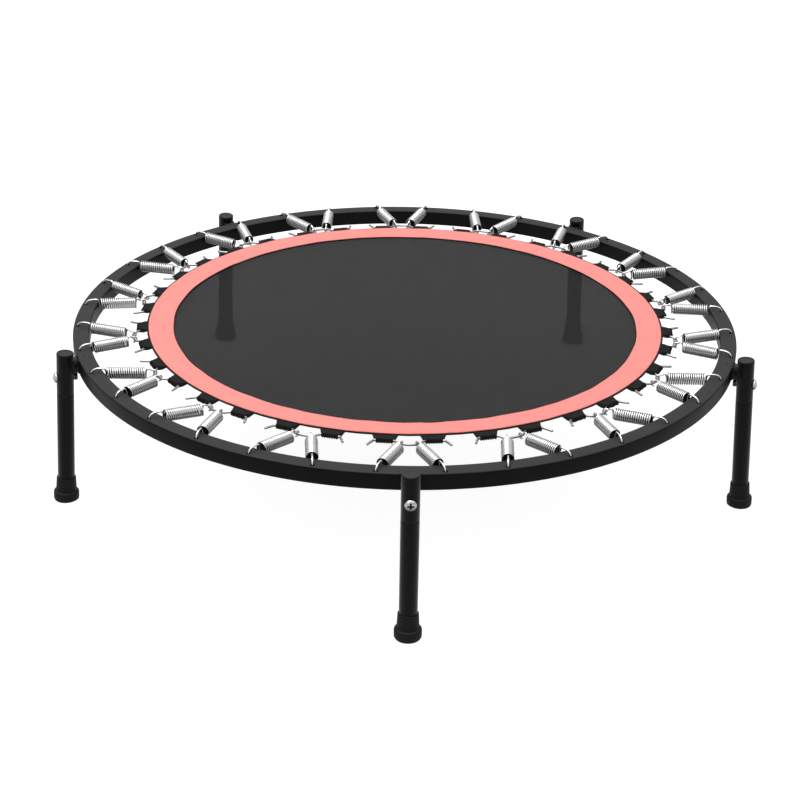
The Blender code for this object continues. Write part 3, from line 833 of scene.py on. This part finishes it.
def spring_line():
    start, end = COIL_START, COIL_START + COIL_LENGTH
    start_axis, end_axis = COIL_AXIS
    bar = BAR_HEIGHT - RING_TOP
    rise = (end_axis - start_axis) / COIL_LENGTH
    first, last = math.radians(210), 2 * math.pi * COIL_TURNS + math.radians(150)
    coil = []
    for turn in np.linspace(first, last, COIL_TURNS * 16):
        x = start + COIL_LENGTH * (turn - first) / (last - first)
        axis = start_axis + rise * (x - start)
        coil.append((x, COIL_RADIUS * math.sin(turn), axis + COIL_RADIUS * math.cos(turn)))
    outer = [
        (0, 0, -0.009), (0, 0, -0.003), (0.0008, 0, 0.0014), (0.0034, 0, 0.0046),
        (0.0076, 0, 0.0062), (0.0125, 0, 0.0065),
        (start - 0.0054, 0, 0.0062), (start - 0.0028, 0, 0.0044), (start - 0.0017, 0, 0.0010),
        (start - 0.0015, 0, -0.0044), (start - 0.0013, -0.0006, -0.0073), coil[0]]
    loop = 0.0040
    inner = [
        coil[-1], (end + 0.0013, 0.0006, end_axis - 0.0072), (end + 0.0015, 0, end_axis - 0.0044),
        (end + 0.0018, 0, end_axis + 0.0010), (end + 0.0028, 0, end_axis + 0.0050),
        (end + 0.0052, 0, end_axis + 0.0070), (SPRING_LENGTH - 0.0040, 0, bar + loop + 0.0004)]
    for a in np.radians((85, 45, 0, -45, -90, -120)):
        inner.append((SPRING_LENGTH + loop * math.cos(a), 0, bar + loop * math.sin(a)))
    line = np.vstack([smooth_line(outer)[:-1], coil, smooth_line(inner)[1:]])
    line[:, 0] *= -1
    return line


# %% [markdown]
# A taut spring stays straight, so a share is worked out for each point of the wire: it stays at nothing
# while the hook lies over the ring, and grows evenly from there to the bar. The share is computed but not
# stored. The mat's share is worked out the same way later, in circles instead of along a line. Each point
# of the wire also stores how deep it lies between two turns.

# %% Springs
# The stored depth is the mask for the painted shade in the creases.
def mark_creases(mesh):
    """Store how deep each point lies between the turns, from 0 outside to 1 beside the next turn."""
    marks = []
    for vertex in mesh.vertices:
        along = -vertex.co.x - COIL_START
        axis = COIL_AXIS[0] + (COIL_AXIS[1] - COIL_AXIS[0]) * along / COIL_LENGTH
        outward = (math.hypot(vertex.co.y, vertex.co.z - axis) - COIL_RADIUS) / WIRE
        in_coil = -0.0003 < along < COIL_LENGTH + 0.0003
        marks.append(min(1, max(0, (0.88 - outward) / 0.3)) if in_coil else 0.0)
    mesh.attributes.new("crease_shade", "FLOAT", "POINT").data.foreach_set("value", marks)


def blend_evenly(piece, share):
    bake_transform(piece)
    values = [share(vertex.co) for vertex in piece.data.vertices]


wire_points, wire_faces = swept(spring_line(), WIRE, 10)
wire_mesh = as_mesh("spring_wire", wire_points, wire_faces, sharp=60)
mark_creases(wire_mesh)
for number, middle, side, angle in spring_stations():
    heading = math.radians(middle) + side * SPRING_LEAN
    hole_at = AXIS + polar(HOLE_CIRCLE, angle, RING_TOP)
    stand = Matrix.Translation(hole_at) @ Matrix.Rotation(heading, 4, "Z")
    name = f"spring_{number:02d}"
    spring = place(f"{name}_wire", wire_mesh.copy(), spring_zinc, None, stand, [name])
    towards_bar = Vector((-math.cos(heading), -math.sin(heading), 0))
    blend_evenly(spring,
                 lambda point: ((point - hole_at).dot(towards_bar) - SHARE_START) / SHARE_SPAN)
print(f"springs: 36, {SPRING_LENGTH * 1000:.1f} mm from hole to bar, {len(wire_mesh.vertices)} points each")

# %% [markdown]
# ## Link bars
# Each bar is 3.6 mm wire, bent cold. Its middle bulges towards the ring, where the two hooks ride.
# Straight stretches run through the tabs. Both ends kick outwards, so that they can't slip back through
# the webbing.

# %% Link bars
BAR_WIRE = 0.0018               # its radius
BAR_END = Vector((0.418, 0.0565, 0))


def bar_line():
    tab = polar(BAR_IN_TAB, TAB_HALF_ANGLE)
    along = polar(1, TAB_HALF_ANGLE + 90)
    half = [Vector((bar_reach(y), y, 0)) for y in (0, 0.005, 0.010, 0.0145)]
    half += [tab - along * 0.0125, tab, tab + along * 0.0125]
    half += [tab + along * 0.0158 + polar(0.002, TAB_HALF_ANGLE), BAR_END]
    mirrored = [Vector((p.x, -p.y, 0)) for p in reversed(half[1:])]
    return smooth_line([tuple(p) for p in mirrored + half], 0.0015)


bar_points, bar_faces = swept(bar_line(), BAR_WIRE, 12, tip=0.5)
bar_mesh = as_mesh("link_bar", bar_points, bar_faces, sharp=60)


def pair_frame(pair, height=0.0):
    turn = math.radians(FIRST_ANGLE + 360 / PAIRS * pair)
    return Matrix.Translation(AXIS + Vector((0, 0, height))) @ Matrix.Rotation(turn, 4, "Z")


for pair in range(PAIRS):
    place(f"link_bar_{pair + 1:02d}", bar_mesh, bar_zinc, "bed_edge", pair_frame(pair, BAR_HEIGHT))
print("link bars:", PAIRS)

# %% [markdown]
# ## Webbing tabs
# A tab is a strip of black webbing folded round the bar and sewn flat. It is a loft: one closed section,
# thick round the bar and thin at the seam, repeated across the width. The coarse ribs of the webbing lift
# the section a little, and at the fold they give the tab its scalloped edge. The tab is wider where it
# goes under the tape, and slopes down from there, because the bar hangs a little lower than the webbing.

# %% Webbing tabs
TAB_RIBS = 7
TAB_SAMPLES = 5                 # across one rib
TAB_ROOT = 0.387
TAB_ROOT_HALF_WIDTH = 0.0178
TAB_FOLD_HALF_WIDTH = 0.0118
FOLD_RADIUS = 0.0034


def tab_section():
    """The closed section of a tab as (out, up) points, with up counted from the bar's middle."""
    over = [(TAB_ROOT, 0.0029), (0.391, 0.0030), (0.395, 0.0031), (0.400, 0.0034)]
    fold = [(BAR_IN_TAB + FOLD_RADIUS * math.sin(a), FOLD_RADIUS * math.cos(a))
            for a in np.radians(range(-20, 201, 20))]
    under = [(0.4015, -0.0026), (0.398, -0.0008), (0.3945, 0.0010), (0.391, 0.0019), (TAB_ROOT, 0.0021)]
    return over + fold + under


def tab_mesh():
    section = tab_section()
    columns = TAB_RIBS * TAB_SAMPLES + 1
    points = []
    for column in range(columns):
        across = 2 * column / (columns - 1) - 1
        rib = 0.5 + 0.5 * math.cos(2 * math.pi * TAB_RIBS * (across + 1) / 2 + math.pi)
        tooth = 0.0024 * (rib - 0.5) * (1 + 0.5 * math.sin(9.0 * across))
        for out, up in section:
            share = (out - TAB_ROOT) / (BAR_IN_TAB + FOLD_RADIUS - TAB_ROOT)
            narrowing = min(1, max(0, (share - 0.3) / 0.55))
            half = TAB_ROOT_HALF_WIDTH + (TAB_FOLD_HALF_WIDTH - TAB_ROOT_HALF_WIDTH) * narrowing
            swell = 1 + 0.18 * rib * min(1, max(0, share / 0.5))
            points.append((out + tooth * max(0, share - 0.7) / 0.3, across * half, up * swell))
    ring_size = len(section)
    faces = []
    for column in range(columns - 1):
        for i in range(ring_size):
            j = (i + 1) % ring_size
            low, high = column * ring_size, (column + 1) * ring_size
            faces.append((low + i, low + j, high + j, high + i))
    faces.append(tuple(range(ring_size))[::-1])
    faces.append(tuple(range((columns - 1) * ring_size, columns * ring_size)))
    return as_mesh("tab", points, faces, sharp=50)


folded_tab = tab_mesh()
for pair in range(PAIRS):
    for side in (-1, 1):
        turn = Matrix.Rotation(math.radians(side * TAB_HALF_ANGLE), 4, "Z")
        name = f"tab_{pair + 1:02d}_{'left' if side < 0 else 'right'}"
        place(name, folded_tab, tab_webbing, "bed_edge", pair_frame(pair, BAR_HEIGHT) @ turn)
print("tabs:", 2 * PAIRS)

# %% [markdown]
# ## The bed
# Mat, webbing strip and tape are thin discs and hoops, made of many small faces. Under a load the mat
# becomes a shallow cone, so a share of the middle's motion is worked out for each point from how far it is
# from the axis: none at the sewn edge, all of it under the feet, and evenly in between, with a soft turn at
# the feet. The share is computed but not stored.

# %% Helper for flat round goods
FEET_RADIUS = 0.11
BED_EDGE = 0.386


def cone_share(point):
    """The share of the middle's motion that a point of the bed takes."""
    out = (Vector((point.x, point.y, 0)) - AXIS).length
    share = (BED_EDGE - out) / (BED_EDGE - FEET_RADIUS)
    soft = 0.2
    if share > 1 - soft:
        into = min((share - 1 + soft) / (2 * soft), 1)
        share = 1 - soft + 2 * soft * (into - into * into / 2)
    return share


def dish(piece):
    blend_evenly(piece, cone_share)


def flat_goods(name, radii, angles, top, thickness, drift=lambda radius, angle: 0.0):
    """A thin closed sheet. top(radius, angle in degrees) is the height of its upper face."""
    points = []
    for drop in (0.0, thickness):
        for angle in angles:
            for radius in radii:
                points.append(polar(radius + drift(radius, angle), angle, top(radius, angle) - drop))
    rows, columns = len(angles), len(radii)
    faces = []
    for row in range(rows):
        after = (row + 1) % rows
        for column in range(columns - 1):
            a, b = row * columns + column, after * columns + column
            faces.append((a, a + 1, b + 1, b))
            low_a, low_b = a + rows * columns, b + rows * columns
            faces.append((low_b, low_b + 1, low_a + 1, low_a))
        for column in (0, columns - 1):
            a, b = row * columns + column, after * columns + column
            faces.append((a, b, b + rows * columns, a + rows * columns))
    return as_mesh(name, points, faces, sharp=60)


# %% [markdown]
# The mat is pulled at 36 places, so its edge is never perfectly flat: it lies a hair lower between the
# tabs than at them. A disc needs a middle, and a very small first radius closes it without a long thin
# fan of triangles.

# %% Mat
MAT_HEM = 0.0025                # the mat ends this far inside the edge of its plain solid
SAG = 0.0004


def tilt(radius):
    """The springs lift the bed's outer edge a little above the mat."""
    return 0.0008 - 0.0018 * min(1, max(0, (BAND_OUTER - radius) / (BAND_OUTER - BAND_INNER)))


def pull(angle, radius):
    """How far the bed's edge lies below the tabs, halfway between them."""
    near_edge = max(0, (radius - 0.34) / 0.055)
    phase = math.radians(2 * PAIRS * (angle - FIRST_ANGLE - TAB_HALF_ANGLE))
    return tilt(radius) - SAG * near_edge * (0.5 - 0.5 * math.cos(phase))


mat_radii = [0.0002, *np.linspace(0.02, 0.34, 17), *np.linspace(0.35, MAT_RADIUS - MAT_HEM, 6)]
mat_angles = np.arange(0, 360, 2.5)
mat_mesh = flat_goods("mat", mat_radii, mat_angles, lambda r, a: mat_high.z + pull(a, r),
                      mat_high.z - mat_low.z)
mat = place("mat", mat_mesh, mat_weave, None, Matrix.Translation(AXIS), ["jump_mat"])
dish(mat)

# %% [markdown]
# The webbing strip lies between mat and tape, a little wider than the tape, so it shows as a thin dark
# line on both sides of the coral. The tape itself is sewn down in one long piece whose end overlaps its
# start by a thumb's width.

# %% Webbing strip and tape
TAPE_SEAM = -81.4
SEAM_OVERLAP = 3.2              # degrees
TAPE_LIFT = 0.0005
TAPE_TOP = band_high.z - 0.0006
TAPE_THICKNESS = 0.0009
STRIP_THICKNESS = 0.0014


def tape_lift(angle):
    """The overlap rises slowly and ends in a step at the seam."""
    past = (angle - TAPE_SEAM + SEAM_OVERLAP) / SEAM_OVERLAP
    return TAPE_LIFT * min(1, past * 3) if 0 < past <= 1 else 0.0


def tape_top(radius, angle):
    """The height of the tape's upper face. Its two edges are folded down, which makes it gently round."""
    inside = min(radius - BAND_INNER, BAND_OUTER - radius)
    fold = 0.0007 * max(0, 1 - inside / 0.0016) ** 2
    pucker = 0.00022 * math.sin(math.radians(2 * PAIRS * angle))
    pucker += 0.00012 * math.sin(math.radians(61 * angle))
    return TAPE_TOP - fold + pucker + tape_lift(angle) + tilt(radius)


strip_radii = [BAND_INNER - 0.0020, BAND_INNER + 0.004, 0.375, BAND_OUTER - 0.004, BAND_OUTER + 0.0028]
strip_mesh = flat_goods("strip", strip_radii, mat_angles, lambda r, a: band_low.z - 0.0003 + pull(a, r),
                        STRIP_THICKNESS)
strip = place("webbing_strip", strip_mesh, edge_webbing, None, Matrix.Translation(AXIS),
              ["webbing_hoop"])
dish(strip)


def tape_drift(radius, angle):
    """The inner edge was guided by hand: it wanders, and its end lies a little further out than its start."""
    near_inner = max(0, 1 - (radius - BAND_INNER) / 0.02)
    wander = 0.0005 * math.sin(math.radians(7 * angle + 40)) + 0.0003 * math.sin(math.radians(23 * angle))
    step = 0.0014 if 0 < TAPE_SEAM - angle < 6 else 0.0
    return near_inner * (wander + step)


tape_radii = [BAND_INNER + d for d in (0, 0.0005, 0.0011, 0.002, 0.006, 0.012)]
tape_radii += [BAND_OUTER - d for d in (0.018, 0.012, 0.006, 0.002, 0.0011, 0.0005, 0)]
tape_angles = sorted([*np.arange(-180, 180, 1.25), TAPE_SEAM, TAPE_SEAM + 0.04])
tape_mesh = flat_goods("tape", tape_radii, tape_angles, tape_top, TAPE_THICKNESS, tape_drift)
tape = place("edge_tape", tape_mesh, coral_tape, None, Matrix.Translation(AXIS), ["edge_band"])
dish(tape)
print(f"tape {1000 * (BAND_OUTER - BAND_INNER):.0f} mm wide")

# %% [markdown]
# Two rows of lock stitch hold the tape, one near each edge. A stitch is a short piece of thread that
# sinks into the cloth at both ends. More than a thousand tiny arches are one mesh, because they always
# move together.

# %% Stitching
STITCH = 0.0042
THREAD = 0.00028


def stitch_rows():
    points, faces = [], []
    for radius in (BAND_INNER + 0.0034, BAND_OUTER - 0.0034):
        count = round(2 * math.pi * radius / STITCH)
        for k in range(count):
            middle = 360 * k / count - 180
            half = 0.40 * 360 / count
            arch = []
            for share in (-1, -0.6, 0, 0.6, 1):
                angle = middle + share * half
                sink = 0.0004 * share ** 4
                arch.append(polar(radius, angle, tape_top(radius, angle) + 0.0001 - sink))
            more_points, more_faces = swept(arch, THREAD, 5)
            faces += [tuple(i + len(points) for i in face) for face in more_faces]
            points += list(more_points)
    return as_mesh("stitches", points, faces, sharp=60)


stitches = place("stitching", stitch_rows(), coral_thread, None, Matrix.Translation(AXIS))
dish(stitches)
print("stitching:", len(stitches.data.vertices), "points")

# %% [markdown]

# %% [markdown]
# ## Floor, light and camera
# A pale floor that curves up nowhere, a big soft light overhead and a weaker one at the front give the
# flat, clean look of a catalogue. The overhead light makes the tops bright and leaves the sides of the
# black tube dark. The floor gives off light of its own, like a light table, so the object throws almost
# no shadow on it.

# %% Floor and lights
FLOOR_HALF = 30
FLOOR_HEIGHT = -0.0002          # a hair below the feet
floor_corners = [(x * FLOOR_HALF, y * FLOOR_HALF, FLOOR_HEIGHT)
                 for x, y in ((-1, -1), (1, -1), (1, 1), (-1, 1))]
floor_mesh = as_mesh("floor", floor_corners, [(0, 1, 2, 3)])
pale = grained("pale_floor", (0.20, 0.20, 0.20), (0.21, 0.21, 0.21),
               roughness=0.7, spread=0.1, grain_size=200.0, bump=0.0001,
               Emission_Color=(1, 1, 1, 1), Emission_Strength=0.93, Specular_IOR_Level=0.2)
floor_mesh.materials.append(pale)
floor = bpy.data.objects.new("floor", floor_mesh)
bpy.context.scene.collection.objects.link(floor)

world = bpy.data.worlds.new("studio")
world.use_nodes = True
sky = world.node_tree
direction = add_node(sky, "ShaderNodeSeparateXYZ")
sky.links.new(add_node(sky, "ShaderNodeTexCoord").outputs["Generated"], direction.inputs[0])
ceiling = add_node(sky, "ShaderNodeMapRange", interpolation_type="SMOOTHSTEP")
ceiling.inputs["To Min"].default_value = 0.4
ceiling.inputs["To Max"].default_value = 1.1
sky.nodes["Background"].inputs["Color"].default_value = (1, 1, 1, 1)
sky.links.new(direction.outputs["Z"], ceiling.inputs["Value"])
sky.links.new(ceiling.outputs["Result"], sky.nodes["Background"].inputs["Strength"])
bpy.context.scene.world = world


def soft_light(name, place_at, aim_at, size, power):
    light = bpy.data.lights.new(name, "AREA")
    light.shape, light.size, light.size_y, light.energy = "RECTANGLE", size, size, power
    lamp = bpy.data.objects.new(name, light)
    lamp.location = place_at
    lamp.rotation_euler = (Vector(aim_at) - Vector(place_at)).to_track_quat("-Z", "Y").to_euler()
    bpy.context.scene.collection.objects.link(lamp)


soft_light("overhead", (-0.4, 0.2, 2.4), (0, 0, 0), 1.8, 44)
soft_light("front", (-1.6, -3.0, 1.6), (0, 0, 0.15), 1.0, 6)

# %% [markdown]
# The camera stands about two and a half metres in front and looks down by 26 degrees with a moderate
# telephoto lens. It is built from its three directions, with a roll of about one degree.

# %% Camera
CAMERA_FROM_RING = Vector((-0.0564, -2.5624, 1.1090))
CAMERA_PAN, CAMERA_TILT, CAMERA_ROLL = math.radians(1.138), math.radians(26.0), math.radians(1.069)
camera = bpy.data.objects.new("camera", bpy.data.cameras.new("camera"))
camera.data.lens = 80.99
bpy.context.scene.collection.objects.link(camera)
ahead = Vector((math.sin(CAMERA_PAN) * math.cos(CAMERA_TILT),
                math.cos(CAMERA_PAN) * math.cos(CAMERA_TILT),
                -math.sin(CAMERA_TILT)))
level = ahead.cross(Vector((0, 0, 1))).normalized()
upward = level.cross(ahead)
right = level * math.cos(CAMERA_ROLL) + upward * math.sin(CAMERA_ROLL)
upward = right.cross(ahead)
camera.matrix_world = Matrix((right, upward, -ahead)).transposed().to_4x4()
camera.location = AXIS + Vector((0, 0, RING_TOP)) + CAMERA_FROM_RING
bpy.context.scene.camera = camera
bpy.context.scene.view_settings.view_transform = "Standard"

# %% [markdown]
# Last, the scene is brought up to date.

# %% Finish
bpy.context.view_layer.update()
